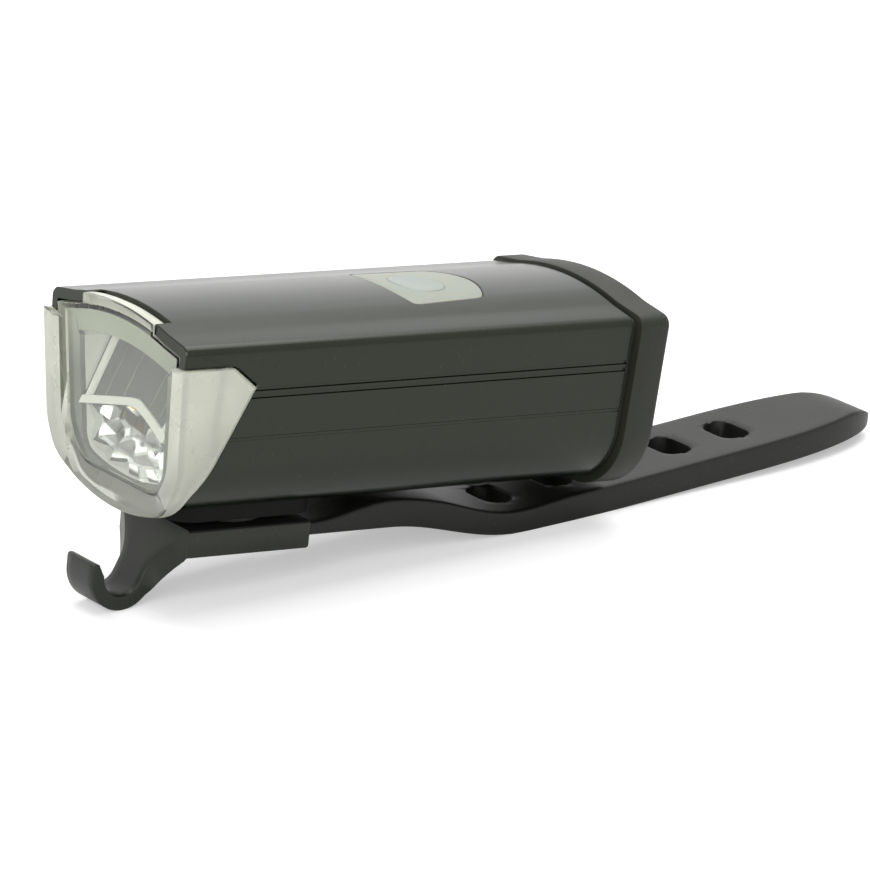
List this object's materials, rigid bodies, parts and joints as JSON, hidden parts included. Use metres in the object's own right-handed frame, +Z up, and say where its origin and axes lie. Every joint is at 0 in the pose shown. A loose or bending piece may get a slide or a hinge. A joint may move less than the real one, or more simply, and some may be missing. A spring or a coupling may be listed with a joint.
{
  "type": "bike headlight",
  "caption": "Small rechargeable bike headlight: black box-shaped tube, clear winged lens, top button, rear cap, and a swivel bracket with hook and holed rubber strap.",
  "frame": {"origin": "middle of the bracket's flat underside, which sits on the handlebar", "axes": "-Y is the way the beam shines, +Y runs back along the strap, +X is the lamp's left side (its right side seen from in front), +Z is up"},
  "size_m": [0.034, 0.1283, 0.0408],
  "materials": {
    "housing_black": "satin",
    "clear_lens": "gloss",
    "reflector_silver": "gloss",
    "white_board": "matte",
    "emitter_yellow": "gloss",
    "bare_aluminium": "satin",
    "dark_plastic": "matte",
    "cell_sleeve": "gloss",
    "tab_steel": "satin",
    "green_board": "gloss",
    "switch_black": "matte",
    "plunger_white": "matte",
    "indicator_white": "gloss",
    "socket_steel": "satin",
    "button_frost": "satin",
    "key_frost": "satin",
    "cap_black": "matte",
    "seal_rubber": "matte",
    "screw_steel": "satin",
    "washer_nylon": "satin",
    "bracket_black": "matte",
    "strap_rubber": "matte"
  },
  "bodies": {
    "bracket": {"hook_bracket": "bracket_black", "strap_root": "strap_rubber", "strap_pin": "screw_steel", "pivot_screw": "screw_steel", "swivel_washer": "washer_nylon"},
    "lamp": {"housing": "housing_black", "front_lens": "clear_lens", "lens_gasket": "seal_rubber", "reflector": "reflector_silver", "led_board": "white_board", "led_emitter": "emitter_yellow", "heat_sink": "bare_aluminium", "inner_sled": "dark_plastic", "battery_cell": "cell_sleeve", "battery_tabs": "tab_steel", "main_board": "green_board", "tact_switch": "switch_black", "indicator_leds": "indicator_white", "usb_socket": "socket_steel", "button_frame": "button_frost", "rear_cap": "cap_black", "rear_gasket": "seal_rubber", "rear_screws": "screw_steel", "mount_foot": "dark_plastic", "foot_screws": "screw_steel"},
    "button": {"button_key": "key_frost", "switch_plunger": "plunger_white"},
    "flap": {"usb_flap": "seal_rubber"},
    "strap_1": {"strap_link_1": "strap_rubber"},
    "strap_2": {"strap_link_2": "strap_rubber"},
    "strap_3": {"strap_link_3": "strap_rubber"},
    "strap_4": {"strap_link_4": "strap_rubber"},
    "strap_5": {"strap_link_5": "strap_rubber"},
    "strap_6": {"strap_tail": "strap_rubber"}
  },
  "joints": [
    {"name": "lamp_swivel", "type": "hinge", "parent": "bracket", "child": "lamp", "pos_m": [0, 0, 0.0045], "axis": [0, 0, 1], "range_deg": [-12, 12]},
    {"name": "button_press", "type": "slide", "parent": "lamp", "child": "button", "axis": [0, 0, -1], "range_m": [0, 0.0006], "stiffness_N_per_m": 2500, "springref_m": -0.0003},
    {"name": "usb_flap_hinge", "type": "hinge", "parent": "lamp", "child": "flap", "pos_m": [0, 0.05815, 0.02262], "axis": [-1, 0, 0], "range_deg": [0, 95], "stiffness_Nm_per_rad": 0.004, "springref_deg": -5.73},
    {"name": "strap_bend_1", "type": "hinge", "parent": "bracket", "child": "strap_1", "pos_m": [0, 0.01235, 0.00165], "axis": [-1, 0, 0], "range_deg": [0, 59.6], "stiffness_Nm_per_rad": 0.3},
    {"name": "strap_bend_2", "type": "hinge", "parent": "strap_1", "child": "strap_2", "pos_m": [0, 0.02573, 0.00149], "axis": [-1, 0, 0], "range_deg": [0, 36.5], "stiffness_Nm_per_rad": 0.1},
    {"name": "strap_bend_3", "type": "hinge", "parent": "strap_2", "child": "strap_3", "pos_m": [0, 0.0391, -0.00071], "axis": [-1, 0, 0], "range_deg": [0, 51.7], "stiffness_Nm_per_rad": 0.1},
    {"name": "strap_bend_4", "type": "hinge", "parent": "strap_3", "child": "strap_4", "pos_m": [0, 0.049, -0.00034], "axis": [-1, 0, 0], "range_deg": [0, 39.1], "stiffness_Nm_per_rad": 0.1},
    {"name": "strap_bend_5", "type": "hinge", "parent": "strap_4", "child": "strap_5", "pos_m": [0, 0.0589, 0.00105], "axis": [-1, 0, 0], "range_deg": [0, 33.2], "stiffness_Nm_per_rad": 0.1},
    {"name": "strap_bend_6", "type": "hinge", "parent": "strap_5", "child": "strap_6", "pos_m": [0, 0.0688, 0.00258], "axis": [-1, 0, 0], "range_deg": [0, 27.1], "stiffness_Nm_per_rad": 0.1}
  ]
}
